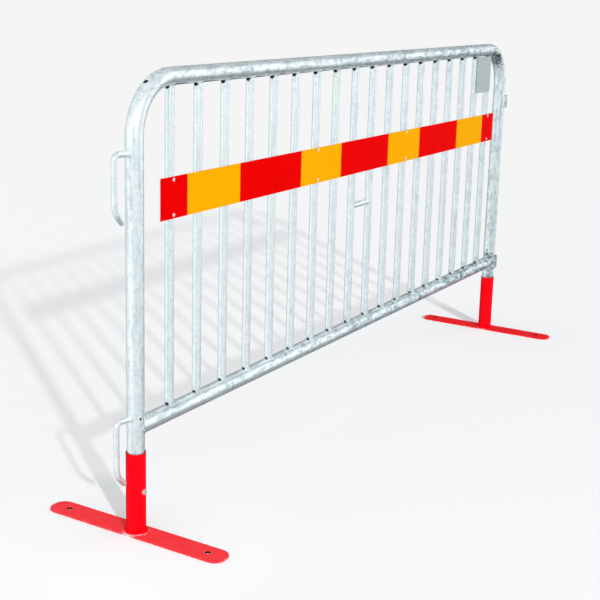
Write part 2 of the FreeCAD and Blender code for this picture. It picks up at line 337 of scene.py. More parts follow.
def zinc_material(name, look, patchiness, tint=1.0, hollow=False):
    """Hot-dip zinc: crystals, and dull patches and runs that lie along each tube and grow
    stronger on the rails and towards the eyes, with painted shade that darkens it towards the eyes
    and painted shade and dark reflection inside the bend at the eyes. A hollow bar has painted
    shade within its bore and round its vent notches."""
    material, shader, place = new_material(name)
    along, deep, high = place.parts()
    far = along.ease(-0.9, 1.15)
    top_rail = high.ease(AT.top_z - 80 * MM, AT.top_z - 20 * MM)
    bottom_rail = 1 - high.ease(AT.bottom_z + 25 * MM, AT.bottom_z + 60 * MM)
    off_post = along.ease(AT.left_x + 20 * MM, AT.left_x + 60 * MM)
    rail = top_rail.most(bottom_rail * off_post)
    busy = (0.40 + 0.35 * rail) * (0.80 + 0.55 * far) + 0.30 * far * bottom_rail * off_post
    busy = busy * patchiness

    def streaks(size, slimness, detail, roughness):
        level = place.scaled((slimness, 1, 1)).noise(size, detail, roughness)
        upright = place.scaled((1, 1, slimness)).noise(size, detail, roughness)
        return upright + (level - upright) * rail

    clouds = place.noise(look.patch_size, 5.0, 0.62)
    mottle = streaks(look.patch_size / 4, 0.45, 5.0, 0.68)
    runs = streaks(6 * MM, 0.08, 2.0, 0.55)
    grit = place.noise(look.patch_size / 9, 4.0, 0.6)
    tone = place.cell_tone(look.crystal_size)
    clouded = clouds.ease(0.45, 0.66) * 0.30
    mottled = mottle.ease(0.45, 0.62) * 0.50
    gritty = grit.ease(0.45, 0.7) * 0.25
    dull = (clouded + mottled + gritty) * busy + (tone - 0.5) * 0.12
    dull = dull + runs.ease(0.50, 0.70) * 0.20 * patchiness
    # Painted shade: more of the dull colour towards the eyes.
    dull = (dull + far * look.far_shade).most(0.0).least(1.0)
    bright = tuple(c * tint for c in look.bright)
    colour = dull.blend(bright, look.dull)
    # Painted shade and dark reflection on the inner side of the bend at the eyes.
    near_bend = bend_shade(along, high, look.bend_radius)
    ragged = near_bend * 0.9 + (grit - 0.5) * 3.5 + (mottle - 0.5) * 2.5
    inner_shade = ragged.ease(0.80, 0.98) * near_bend.ease(0.0, 0.12)
    # A hollow bar gets painted shade in its bore and round its vent notches.
    if hollow:
        inner_shade = inner_shade.most(bore_shade(along, deep)).most(vent_shade(along, deep, high, grit))
    height = grit * 0.5 + tone * 0.2 + runs * 0.3
    feed(shader, {
        "Base Color": inner_shade.blend(colour, look.inner_shade),
        "Metallic": 0.84 - 0.84 * inner_shade,
        "Specular IOR Level": 0.15,
        "Roughness": look.roughness + 0.24 * dull + 0.06 * tone + 0.3 * inner_shade,
        "Normal": place.bump(height, 0.35 * MM, 0.55),
    })
    return material


def bend_shade(along, high, bend):
    """1 on the inner side of the bend at the eyes, where shade and dark reflection are painted,
    thinning out along the rail and the post.
    """
    over_x = along - (AT.right_x - bend)
    over_z = high - (AT.top_z - bend)
    from_centre = (over_x ** 2 + over_z ** 2) ** 0.5
    skin = from_centre.ease(bend - 24 * MM, bend - 20 * MM)
    inner_side = 1 - from_centre.ease(bend - 4 * MM, bend + 12 * MM)
    on_rail = over_x.ease(-60 * MM, 15 * MM)
    on_post = over_z.ease(45 * MM, 85 * MM)
    return skin * inner_side * on_rail * on_post


def over_nearest_bar(along):
    """X from the axis of the nearest bar, as bars stand at one pitch."""
    pitch = AT.bar_x[1] - AT.bar_x[0]
    return along.math("WRAP", along - AT.bar_x[0], pitch / 2, -pitch / 2)


def bore_shade(along, deep):
    """1 inside the bars' bores, where shade is painted."""
    from_axis = (over_nearest_bar(along) ** 2 + deep ** 2) ** 0.5
    return 1 - from_axis.ease(AT.bar_radius - 1.1 * MM, AT.bar_radius - 0.6 * MM)


def vent_shade(along, deep, high, grit):
    """1 in a ragged spot of painted shade round the vent notch at each end of a bar,
    smaller at the bottom.
    """
    across = over_nearest_bar(along) + AT.bar_radius
    under = high - (AT.top_z - AT.tube_radius)
    over = high - (AT.bottom_z + AT.tube_radius)
    ragged = (grit - 0.5) * 7 * MM
    from_top = (across ** 2 + deep ** 2 + under ** 2) ** 0.5 + ragged
    from_bottom = (across ** 2 + deep ** 2 + over ** 2) ** 0.5 + ragged
    top = 1 - from_top.ease(6.5 * MM, 9.0 * MM)
    return top.most(1 - from_bottom.ease(4.5 * MM, 6.5 * MM))


def rounded_edge_distance(x, y, half_x, half_y, radius):
    """Distance inside the outline of a rectangle with round corners; negative outside."""
    over_x = abs(x) - (half_x - radius)
    over_y = abs(y) - (half_y - radius)
    corner = (over_x.most(0.0) ** 2 + over_y.most(0.0) ** 2) ** 0.5
    return radius - corner - over_x.most(over_y).least(0.0)


def foot_material(side, look, wear_end, end_wear, weld_wear, top_light_share):
    """Gloss paint with orange peel, scuffs, and chips along edges, weld and one worn end, with a
    share of painted light on the plate's top. The sleeve and the holes have painted shade inside."""
    material, shader, place = new_material(side + "_foot_red_paint")
    low, high = corners(side + "_foot_plate")
    x, y, z = place.parts()
    half = (high - low) / 2
    x = x - AT.post_x[side]
    inside = rounded_edge_distance(x, y, half[0], half[1], PLATE_CORNER)
    flat = 1 - z.ease(AT.plate_top + 0.1 * MM, AT.plate_top + 0.6 * MM)
    edge = (1 - inside.ease(0.4 * MM, 3.5 * MM)) * flat
    from_hole = (x ** 2 + (abs(y) - (half[1] - HOLE_INSET)) ** 2) ** 0.5
    hole = 1 - from_hole.ease(7 * MM, 12 * MM)
    from_post = (x ** 2 + y ** 2) ** 0.5
    weld = (1 - from_post.ease(31 * MM, 42 * MM)) * flat
    weld = weld * (0.07 + weld_wear * (0 - x - 0.5 * y).ease(0.0, 24 * MM))
    # Painted shade inside the sleeve's bore.
    bore = (1 - from_post.ease(22.9 * MM, 23.4 * MM)) * z.ease(AT.plate_top, AT.plate_top + 3 * MM)
    rim = z.ease(AT.plate_top + 196 * MM, AT.plate_top + 200 * MM)
    worn_end = (y * wear_end).ease(half[1] - 30 * MM, half[1] - 2 * MM) * flat
    spots = place.noise(look.chip_size, 3.0, 0.65)
    wide = place.noise(22 * MM, 2.0)
    wear = spots + 0.07 * edge + 0.06 * hole + weld + 0.05 * rim + end_wear * worn_end
    wear = wear + 0.10 * wide
    chips = wear.ease(0.775, 0.80)
    # Painted shade on the holes' walls.
    hole_shade = 1 - from_hole.ease(6.7 * MM, 7.1 * MM)
    scuff = place.scaled((1, 0.2, 1)).noise(3 * MM, 4.0, 0.7).ease(0.55, 0.85)
    dust = wide.ease(0.45, 0.8) * 0.25
    peel = place.noise(1.6 * MM, 2.0)
    deep = tuple(c * 0.86 for c in look.red)
    worn_red = tuple(min(1.0, c + 0.05) for c in look.red)
    paint = dust.blend(look.red, deep)
    paint = (scuff * 0.25).blend(paint, worn_red)
    # Painted light on the plate's top face.
    paint = (flat * top_light_share * (0.55 + 0.9 * wide)).blend(paint, look.painted_top_light)
    height = peel * 0.25 + (1 - chips) * 0.75
    skin = chips.blend(paint, look.bare)
    feed(shader, {
        "Base Color": bore.most(hole_shade).blend(skin, look.inside),
        "Metallic": chips * 0.6,
        "Roughness": 0.28 + 0.16 * scuff + 0.22 * chips,
        "Specular IOR Level": 0.02,
        "Coat Weight": 0.01 - 0.01 * chips,
        "Coat Roughness": 0.10,
        "Normal": place.bump(height, 0.25 * MM, 0.5),
    })
    return material


def hexagon_distance(u, v):
    """Distance from the nearest cell's middle to the point, 0 there and 1 at the cell's wall.
    Middles lie on two staggered grids, 1 apart in u and the root of 3 apart in v."""
    tall = math.sqrt(3)

    def reach(shift):
        a = abs(u.math("WRAP", u + shift, 0.5, -0.5))
        b = abs(u.math("WRAP", v + shift * tall, tall / 2, -tall / 2))
        return (a * 2).most(a + b * tall)

    return reach(0.0).least(reach(0.5))


def film_material(name, colour, look):
    """Reflective film: honeycomb cells, faint scratches, dust and a clear gloss face."""
    material, shader, place = new_material(name)
    x, _, z = place.parts()
    wall = hexagon_distance(x / look.cell_size, z / look.cell_size).ease(0.86, 0.98)
    scratch = place.scaled((0.12, 1, 1)).noise(0.9 * MM, 2.0, 0.8).ease(0.70, 0.80)
    specks = 1 - place.cells(26 * MM).ease(0.018, 0.035)
    dust = place.noise(60 * MM, 4.0).ease(0.4, 0.8)
    deep = tuple(c * 0.80 for c in colour)
    pale = tuple(c * 0.7 + 0.3 for c in colour)
    face = (wall * 0.30 + dust * 0.14).blend(colour, deep)
    face = (scratch * 0.06 + specks * 0.5).blend(face, pale)
    feed(shader, {
        "Base Color": face,
        "Roughness": 0.36 + 0.10 * dust + 0.20 * scratch,
        "Specular IOR Level": 0.004,
        "Normal": place.bump(1 - wall, 0.05 * MM, 0.35),
    })
    return material


def sheet_material():
    """Mill-finish aluminium sheet with rolling lines along its length and stains."""
    material, shader, place = new_material("sheet_aluminium")
    lines = place.scaled((0.02, 1, 1)).noise(0.8 * MM, 3.0, 0.7)
    stains = place.noise(35 * MM, 4.0).ease(0.45, 0.75)
    feed(shader, {
        "Base Color": (stains * 0.6).blend((0.80, 0.81, 0.82), (0.55, 0.57, 0.59)),
        "Metallic": 0.95,
        "Roughness": 0.34 + 0.14 * lines + 0.14 * stains,
        "Normal": place.bump(lines, 0.06 * MM, 0.4),
    })
    return material


def small_metal_material(name, clean, stained, roughness):
    """Metal of small fasteners: faint turning marks, stains and handling wear."""
    material, shader, place = new_material(name)
    stains = place.noise(4 * MM, 4.0).ease(0.4, 0.75)
    marks = place.noise(0.7 * MM, 3.0, 0.7)
    feed(shader, {
        "Base Color": stains.blend(clean, stained),
        "Metallic": 0.9,
        "Roughness": roughness + 0.18 * stains + 0.08 * marks,
        "Normal": place.bump(marks, 0.08 * MM, 0.4),
    })
    return material


# Surfaces worked out with numpy

def grid_faces(rows, columns, wrap_rows=False):
    """Quads between the lines of a grid of points whose columns close to a ring."""
    i, j = np.meshgrid(np.arange(rows if wrap_rows else rows - 1), np.arange(columns),
                       indexing="ij")
    next_i = (i + 1) % rows
    next_j = (j + 1) % columns
    corner = [i * columns + j, i * columns + next_j,
              next_i * columns + next_j, next_i * columns + j]
    return np.stack(corner, axis=-1).reshape(-1, 4)


class Shape:
    """Points and faces gathered from several closed surfaces, to become one mesh."""

    def __init__(self):
        self.points = []
        self.faces = []
        self.count = 0

    def add(self, points, *face_arrays):
        points = np.asarray(points).reshape(-1, 3)
        for faces in face_arrays:
            self.faces += (faces + self.count).tolist()
        self.points.append(points)
        self.count += len(points)

    def add_rings(self, rings, first_pole=None, last_pole=None):
        """Rings of points in order, closed to a loop, or ended by a pole at each end."""
        rows, columns, _ = rings.shape
        looped = first_pole is None
        faces = [grid_faces(rows, columns, wrap_rows=looped)]
        points = rings.reshape(-1, 3)
        if not looped:
            j = np.arange(columns)
            after = (j + 1) % columns
            first = np.full(columns, rows * columns)
            last_ring = (rows - 1) * columns
            faces.append(np.stack([first, after, j], axis=-1))
            faces.append(np.stack([first + 1, last_ring + j, last_ring + after], axis=-1))
            points = np.vstack([points, first_pole, last_pole])
        self.add(points, *faces)

    def piece(self, name, material, body, slot, crease=math.radians(40)):
        """Makes the object, which rides on a body and wears the given material. The slot is not used.
        """
        mesh = bpy.data.meshes.new(name)
        mesh.from_pydata(np.vstack(self.points).tolist(), [], self.faces)
        mesh.validate()
        mesh.polygons.foreach_set("use_smooth", np.ones(len(mesh.polygons), dtype=bool))
        mesh.set_sharp_from_angle(angle=crease)
        mesh.materials.append(material)
        return placed(bpy.data.objects.new(name, mesh), body)


def placed(piece, body):
    bpy.context.scene.collection.objects.link(piece)
    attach(piece, body)
    return piece


def unit(vectors):
    return vectors / np.linalg.norm(vectors, axis=-1, keepdims=True)


def turn_steps(sides):
    """Equal steps of angle round a full turn."""
    return np.arange(sides) * 2 * math.pi / sides


def hexagon(half_flats, angle):
    """Distance from a hexagon's middle to its outline, by angle."""
    return half_flats / np.cos(np.mod(angle, math.pi / 3) - math.pi / 6)


def ring_points(path, radii, side, sides, closed):
    """Round section carried along a path: point = path + radius (cos a * normal + sin a *
    binormal). The normal is the side made square to the path's slope, and the binormal is the
    slope crossed with the normal."""
    slope = np.roll(path, -1, 0) - np.roll(path, 1, 0) if closed else np.gradient(path, axis=0)
    slope = unit(slope)
    normal = unit(side - np.sum(side * slope, axis=-1, keepdims=True) * slope)
    binormal = np.cross(slope, normal)
    angle = turn_steps(sides)
    ring = np.cos(angle)[:, None] * normal[:, None, :] + np.sin(angle)[:, None] * binormal[:, None, :]
    return path[:, None, :] + radii[:, None, None] * ring


def evenly(line, step):
    """Points of a line, given as a function of 0 to 1, at equal steps along its length."""
    share = np.linspace(0, 1, 200)
    points = line(share)
    length = np.append(0, np.cumsum(np.linalg.norm(np.diff(points, axis=0), axis=1)))
    count = max(8, int(round(length[-1] / step)))
    at = np.interp(np.linspace(0, length[-1], count + 1), length, share)
    return line(at), np.linspace(0, length[-1], count + 1)


def bead(shape, line, side, radius, pitch, random, closed=False, sides=8):
    """Weld bead: a round section carried along a seam. Its radius is the mean radius times
    1 + 0.13 |sin(pi s / pitch)| with a slow random swell, where s is the length along the seam,
    and falls as a quarter ellipse over one radius at each open end."""
    path, s = evenly(line, pitch / 4)
    if closed:
        path, s = path[:-1], s[:-1]
        ripples = max(3, round(s[-1] / pitch))
        pitch = (s[-1] + s[1]) / ripples
    swell = np.interp(s, np.linspace(0, s[-1], 6), random.normal(0, 0.07, 6))
    if closed:
        swell = swell * np.sin(math.pi * s / s[-1])
    ripple = 0.13 * np.abs(np.sin(math.pi * s / pitch))
    radii = radius * (0.93 + ripple + swell)
    if not closed:
        from_end = np.minimum(s, s[-1] - s)
        cap = np.clip(from_end / (1.3 * radius), 0, 1)
        radii = radii * np.sqrt(1 - (1 - cap) ** 2)
    rings = ring_points(path, radii, side, sides, closed)
    if closed:
        shape.add_rings(rings)
    else:
        shape.add_rings(rings[1:-1], path[0], path[-1])


def saddle(centre, along, across, upward, small, large, sink=0.0):
    """Seam of a round member on the side of a larger one. With t the angle round the small
    member, point = centre + small (cos t * along + sin t * across) + upward times the root of
    large squared less (small sin t) squared, less the sink. `along` is the large one's axis."""

    def line(angle):
        sine = np.sin(angle)[:, None]
        rise = np.sqrt(np.maximum(large ** 2 - (small * sine) ** 2, (2 * MM) ** 2)) - sink
        return centre + small * (np.cos(angle)[:, None] * along + sine * across) + rise * upward

    return line


def arc_of(line, start, end):
    """A line by angle, as a line by share from a start angle to an end angle."""
    return lambda share: line(start + (end - start) * share)


def full_turn(line):
    return arc_of(line, 0, 2 * math.pi)


def revolve(shape, centre, axis, first, second, profile, sides, radius_of=None):
    """Profile of (radius, depth) points turned about an axis: point = centre + depth * axis +
    radius (cos a * first + sin a * second). Both of its ends lie on the axis. `radius_of` may
    change the radius of each point by its angle."""
    profile = np.array(profile)
    angle = turn_steps(sides)
    radius, depth = profile[1:-1, 0][:, None], profile[1:-1, 1][:, None]
    radius = radius * np.ones(sides)
    depth = depth * np.ones(sides)
    if radius_of is not None:
        radius, depth = radius_of(radius, depth, angle[None, :])
    turned = radius[..., None] * (np.cos(angle)[:, None] * first + np.sin(angle)[:, None] * second)
    rings = centre + depth[..., None] * axis + turned
    poles = [centre + profile[end, 1] * axis for end in (0, -1)]
    shape.add_rings(rings, poles[0], poles[1])


# Pieces

def zinc_piece(shape, name):
    """Piece of the frame in the frame's own zinc."""
    return shape.piece(name, bpy.data.materials["frame_zinc"], "frame", "galvanised_steel")


def paint_nodes(material, nodes):
    """Puts a material on CAD nodes by their material slots."""
    for name in nodes:
        for slot in frame["nodes"][name].material_slots:
            slot.material = material


class BARRIER_OT_zinc_finish(bpy.types.Operator):
    """Put hot-dip zinc on the frame, the bars, the hooks, the eyes and the label plate"""

    bl_idname = "barrier.zinc_finish"
    bl_label = "Zinc finish"

    def execute(self, context):
        look = context.scene.barrier.zinc
        zinc = zinc_material("frame_zinc", look, 1.0)
        bars = [bar_name(n) for n in range(1, BAR_COUNT + 1)]
        fittings = ["upper_hook", "lower_hook", "centre_spacer"]
        paint_nodes(zinc, ["frame_tube", "bottom_rail"] + fittings)
        # The eyes take a darker copy of the zinc: painted shade at the far end.
        paint_nodes(zinc_material("eye_zinc", look, 1.0, 0.72), ["upper_eye", "lower_eye"])
        paint_nodes(zinc_material("bar_zinc", look, 0.6, hollow=True), bars)
        paint_nodes(zinc_material("label_zinc", look, 0.25, 0.51), ["label_plate"])
        return {"FINISHED"}


class BARRIER_OT_foot_finish(bpy.types.Operator):
    """Put chipped red gloss paint on both feet, with the plates' edges softened"""

    bl_idname = "barrier.foot_finish"
    bl_label = "Foot finish"

    def execute(self, context):
        look = context.scene.barrier.paint
        # Each foot: worn end, end wear, weld wear and share of painted light on the plate's top.
        for side, *wear in (("left", -1, 0.05, 0.15, 0.22), ("right", 1, 0.24, 0.04, 0.0)):
            paint = foot_material(side, look, *wear)
            paint_nodes(paint, [side + "_foot_sleeve"])
            softened(side + "_foot_plate", side + "_foot_base", paint, look.edge_radius)
        return {"FINISHED"}


def softened(node, name, material, radius):
    """Copy of a CAD node with merged points and its sharp edges rounded, in the node's place."""
    source = frame["nodes"][node]
    mesh = source.data.copy()
    work = bmesh.new()
    work.from_mesh(mesh)
    bmesh.ops.remove_doubles(work, verts=work.verts, dist=0.002 * MM)
    bmesh.ops.dissolve_limit(work, angle_limit=math.radians(0.5), verts=work.verts,
                             edges=work.edges)
    work.to_mesh(mesh)
    work.free()
    mesh.name = name
    mesh.materials.clear()
    mesh.materials.append(material)
    mesh.polygons.foreach_set("use_smooth", np.ones(len(mesh.polygons), dtype=bool))
    piece = bpy.data.objects.new(name, mesh)
    bevel = piece.modifiers.new("rounding", "BEVEL")
    bevel.width = radius
    bevel.segments = 3
    bevel.limit_method = "ANGLE"
    bevel.angle_limit = math.radians(50)
    bevel.harden_normals = True
    level = piece.modifiers.new("flat_faces", "WEIGHTED_NORMAL")
    level.keep_sharp = True
    placed(piece, source["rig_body"])
    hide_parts(node)
    return piece


class BARRIER_OT_strip_finish(bpy.types.Operator):
    """Put reflective film on the strip's fields and mill-finish aluminium on its sheet"""

    bl_idname = "barrier.strip_finish"
    bl_label = "Strip finish"

    def execute(self, context):
        look = context.scene.barrier.film
        paint_nodes(film_material("red_film_cells", look.red, look), ["red_sheeting"])
        paint_nodes(film_material("yellow_film_cells", look.yellow, look), ["yellow_sheeting"])
        paint_nodes(sheet_material(), ["strip_backing"])
        return {"FINISHED"}


class BARRIER_OT_bar_welds(bpy.types.Operator):
    """Weld beads on the front and the back of both ends of every bar"""

    bl_idname = "barrier.bar_welds"
    bl_label = "Bar welds"

    def execute(self, context):
        look = context.scene.barrier.weld
        random = np.random.default_rng(look.seed)
        for name, height, way in (("top_rail_welds", AT.top_z, -1),
                                  ("bottom_rail_welds", AT.bottom_z, 1)):
            shape = Shape()
            for x in AT.bar_x:
                self.bar_end(shape, x, height, way, look, random)
            zinc_piece(shape, name)
        return {"FINISHED"}

    def bar_end(self, shape, x, height, way, look, random):
        """One bead in front and one behind, each at its own length and place."""
        seam = saddle(np.array([x, 0, height]), X_AXIS, Y_AXIS, way * Z_AXIS,
                      AT.bar_radius, AT.tube_radius, 0.3 * MM)
        for facing in (-math.pi / 2, math.pi / 2):
            start, end = facing + np.array([-0.5, 0.5]) * look.bead_reach
            start, end = np.array([start, end]) + random.normal(0, 0.10, 2)
            radius = look.bead_radius * random.uniform(0.85, 1.15)
            bead(shape, arc_of(seam, start, end), way * Z_AXIS, radius, look.ripple_pitch, random)


class BARRIER_OT_fitting_welds(bpy.types.Operator):
    """Weld beads of the bottom rail, the spacer, the hooks, the eyes and the label plate"""

    bl_idname = "barrier.fitting_welds"
    bl_label = "Fitting welds"

    def execute(self, context):
        look = context.scene.barrier.weld
        random = np.random.default_rng(look.seed + 1)
        for name, make in (("rail_end_welds", self.rail_ends), ("spacer_welds", self.spacer),
                           ("hook_welds", self.hooks), ("eye_welds", self.eyes),
                           ("label_welds", self.label)):
            shape = Shape()
            make(shape, look, random)
            zinc_piece(shape, name)
        return {"FINISHED"}

    def whole_seam(self, shape, look, random, x, z, way, small, large, sink, size):
        """Bead all round a level member that leaves an upright one along X, one way."""
        seam = saddle(np.array([x, 0, z]), Z_AXIS, Y_AXIS, way * X_AXIS, small, large, sink)
        bead(shape, full_turn(seam), way * X_AXIS, size * look.bead_radius, look.ripple_pitch,
             random, closed=True)

    def rail_ends(self, shape, look, random):
        for post_x, way in ((AT.left_x, 1), (AT.right_x, -1)):
            self.whole_seam(shape, look, random, post_x, AT.bottom_z, way,
                            AT.tube_radius, AT.tube_radius, 0.6 * MM, 1.1)

    def spacer(self, shape, look, random):
        low, high = corners("centre_spacer")
        centre = (low + high) / 2
        radius = (high[2] - low[2]) / 2
        bars = sorted(AT.bar_x, key=lambda x: abs(x - centre[0]))[:2]
        for bar_x in bars:
            way = math.copysign(1, centre[0] - bar_x)
            self.whole_seam(shape, look, random, bar_x, centre[2], way,
                            radius, AT.bar_radius, 0.2 * MM, 0.7)

    def hooks(self, shape, look, random):
        for node in ("upper_hook", "lower_hook"):
            low, high = corners(node)
            radius = (high[1] - low[1]) / 2
            self.whole_seam(shape, look, random, AT.left_x, high[2] - HOOK_ROOT_DROP, -1,
                            radius, AT.tube_radius, 0.2 * MM, 0.9)

    def eyes(self, shape, look, random):
        for node in ("upper_eye", "lower_eye"):
            low, high = corners(node)
            for leg_y in (low[1], high[1]):
                seat = AT.right_x + math.sqrt(AT.tube_radius ** 2 - leg_y ** 2)
                ends = [np.array([seat, leg_y, z]) for z in (low[2] + 1 * MM, high[2] - 1 * MM)]
                bead(shape, straight(*ends), X_AXIS, 0.85 * look.bead_radius,
                     look.ripple_pitch, random)

    def label(self, shape, look, random):
        low, high = corners("label_plate")
        for bar_x in AT.bar_x[-2:]:
            for z in (low[2], high[2]):
                ends = [np.array([bar_x + dx, high[1], z]) for dx in (-4 * MM, 4 * MM)]
                bead(shape, straight(*ends), -Y_AXIS, 1.4 * MM, look.ripple_pitch, random)


def straight(start, end):
    return lambda share: start + np.asarray(share)[:, None] * (end - start)


class BARRIER_OT_foot_welds(bpy.types.Operator):
    """Painted weld bead round the foot of each sleeve, with spatter beside it"""

    bl_idname = "barrier.foot_welds"
    bl_label = "Foot welds"

    def execute(self, context):
        look = context.scene.barrier.weld
        random = np.random.default_rng(look.seed + 2)
        for side in SIDES:
            shape = Shape()
            centre = np.array([AT.post_x[side], 0, AT.plate_top + 0.7 * MM])
            reach = AT.sleeve_radius[side] + 0.7 * MM

            def circle(share, centre=centre, reach=reach):
                angle = 2 * math.pi * np.asarray(share)[:, None]
                return centre + reach * (np.cos(angle) * X_AXIS + np.sin(angle) * Y_AXIS)

            bead(shape, circle, Z_AXIS, look.foot_bead_radius, 1.4 * look.ripple_pitch, random,
                 closed=True, sides=12)
            self.spatter(shape, side, random)
            paint = bpy.data.materials[side + "_foot_red_paint"]
            piece = shape.piece(side + "_foot_bead", paint, side + "_foot", "red_paint")
            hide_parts(side + "_foot_weld")
        return {"FINISHED"}

    def spatter(self, shape, side, random):
        """Small domes on the plate round the weld, each a half ball sunk a little."""
        for _ in range(26):
            angle = random.uniform(0, 2 * math.pi)
            reach = AT.sleeve_radius[side] + random.uniform(5, 17) * MM
            x = np.clip(reach * math.cos(angle), -30 * MM, 30 * MM)
            centre = np.array([AT.post_x[side] + x, reach * math.sin(angle), AT.plate_top])
            size = random.uniform(0.5, 1.1) * MM
            turn = np.linspace(-0.4, math.pi / 2, 5)
            profile = [(0, -0.4 * size)] + [(size * math.cos(t), size * math.sin(t)) for t in turn]
            profile[-1] = (0, size)
            revolve(shape, centre, Z_AXIS, X_AXIS, Y_AXIS, profile, 8)


class BARRIER_OT_strip_rivets(bpy.types.Operator):
    """Blind rivets with a domed head, a hollow with its broken stem, and a bulb in the bar"""

    bl_idname = "barrier.strip_rivets"
    bl_label = "Strip rivets"

    def execute(self, context):
        low, high = corners("strip_rivets")
        face = corners("red_sheeting")[0][1]
        head = AT.bar_x[0] - low[0]
        profile = self.profile(head, face - low[1], high[1] - face)
        shape = Shape()
        for x in [AT.bar_x[i] for i in RIVETED_BARS]:
            for z in (low[2] + head, high[2] - head):
                revolve(shape, np.array([x, face, z]), Y_AXIS, Z_AXIS, X_AXIS, profile, 28)
        metal = small_metal_material("rivet_metal", (0.96, 0.96, 0.97), (0.80, 0.81, 0.82), 0.32)
        piece = shape.piece("riveted_heads", metal, "frame", "rivet_aluminium")
        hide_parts("strip_rivets")
        return {"FINISHED"}

    def profile(self, head, dome, back):
        """Radius and depth from the film's face: stem, hollow, dome as part of a circle, flat
        underside, shank, and the bulb."""
        hollow, shank, bulb = 1.35 * MM, 2.4 * MM, 3.5 * MM
        ball = (head ** 2 + dome ** 2) / (2 * dome)
        reach = np.linspace(hollow + 0.15 * MM, head, 9)
        over = np.sqrt(ball ** 2 - reach ** 2) - (ball - dome)
        points = [(0, -0.35 * MM), (0.8 * MM, -0.35 * MM), (1.0 * MM, -0.15 * MM),
                  (hollow, -0.1 * MM), (hollow, -over[0] + 0.1 * MM)]
        points += [(r, -h) for r, h in zip(reach[:-1], over[:-1])]
        points += [(head, -0.1 * MM), (head, 0), (shank, 0), (shank, back - 4 * MM),
                   (bulb, back - 4 * MM), (bulb, back), (0, back)]
        return points


class BARRIER_OT_lock_nut(bpy.types.Operator):
    """Chamfered hexagon nut welded to the left sleeve"""

    bl_idname = "barrier.lock_nut"
    bl_label = "Lock nut"

    def execute(self, context):
        low, high = corners("left_lock_nut")
        centre = front_middle("left_lock_nut")
        half_flats = (high[2] - low[2]) / 2
        bore = half_width("left_locking_screw") + 0.05 * MM
        deep = high[1] - low[1]
        sleeve = AT.sleeve_radius["left"]
        angle = turn_steps(72)
        across = hexagon(half_flats, angle)
        chamfer_start = 0.96 * half_flats
        rows = []
        for share, depth in ((bore, 0.7 * MM), (bore + 0.7 * MM, 0.0), (chamfer_start, 0.0),
                             (None, None), (None, deep), (bore, deep)):
            radius = across if share is None else np.full(72, share)
            slope = np.maximum(radius - chamfer_start, 0) * math.tan(math.radians(30))
            y = slope if depth is None else np.full(72, depth)
            if depth == deep:
                y = centre_depth(radius, angle, sleeve, -low[1])
            rows.append((radius, y))
        rings = np.array([ring_at(centre, r, y, angle) for r, y in rows])
        shape = Shape()
        shape.add_rings(rings)
        metal = small_metal_material("nut_zinc", (0.97, 0.97, 0.96), (0.60, 0.60, 0.59), 0.22)
        nut = shape.piece("welded_nut", metal, "left_foot", "zinc_plated_steel", math.radians(25))
        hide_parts("left_lock_nut")
        return {"FINISHED"}


def front_middle(node):
    """Middle of the front face of a CAD node's box."""
    centre = middle(node)
    centre[1] = corners(node)[0][1]
    return centre


def ring_at(centre, radius, depth, angle):
    """Ring square to Y: centre + depth * Y + radius (cos a * X - sin a * Z). The radius and the
    depth are one number, or one for each angle."""
    radius = radius * np.ones_like(angle)
    depth = depth * np.ones_like(angle)
    outward = np.cos(angle)[:, None] * X_AXIS - np.sin(angle)[:, None] * Z_AXIS
    return centre + depth[:, None] * Y_AXIS + radius[:, None] * outward


def centre_depth(radius, angle, sleeve, front):
    """Depth from the nut's front to the sleeve's round face: front less the root of the
    sleeve's radius squared less x squared."""
    return front - np.sqrt(sleeve ** 2 - (radius * np.cos(angle)) ** 2)


class BARRIER_OT_locking_screw(bpy.types.Operator):
    """Set screw with a real thread form and a hexagon socket"""

    bl_idname = "barrier.locking_screw"
    bl_label = "Locking screw"

    def execute(self, context):
        low, high = corners("left_locking_screw")
        centre = front_middle("left_locking_screw")
        outer = (high[2] - low[2]) / 2
        length = high[1] - low[1]
        angle = turn_steps(48)
        socket = hexagon(SOCKET_HALF_FLATS, angle)
        rings = [ring_at(centre, socket, SOCKET_DEPTH, angle),
                 ring_at(centre, socket, 0.25 * MM, angle),
                 ring_at(centre, socket + 0.25 * MM, 0, angle),
                 ring_at(centre, outer - 0.8 * MM, 0, angle)]
        for depth in np.linspace(0.5 * MM, length - 0.9 * MM, 36):
            turn = np.mod(depth / THREAD_PITCH - angle / (2 * math.pi), 1)
            groove = THREAD_DEPTH * (1 - np.abs(2 * turn - 1))
            end = min(depth, length - depth) - 0.4 * MM
            radius = np.minimum(outer - groove, outer - max(0.0, 0.8 * MM - end))
            rings.append(ring_at(centre, radius, depth, angle))
        rings.append(ring_at(centre, outer - 1.2 * MM, length, angle))
        shape = Shape()
        shape.add_rings(np.array(rings), centre + SOCKET_DEPTH * Y_AXIS, centre + length * Y_AXIS)
        metal = small_metal_material("screw_zinc", (0.90, 0.90, 0.89), (0.50, 0.50, 0.49), 0.25)
        screw = shape.piece("socket_screw", metal, "locking_screw", "zinc_plated_steel",
                            math.radians(30))
        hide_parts("left_locking_screw")
        return {"FINISHED"}


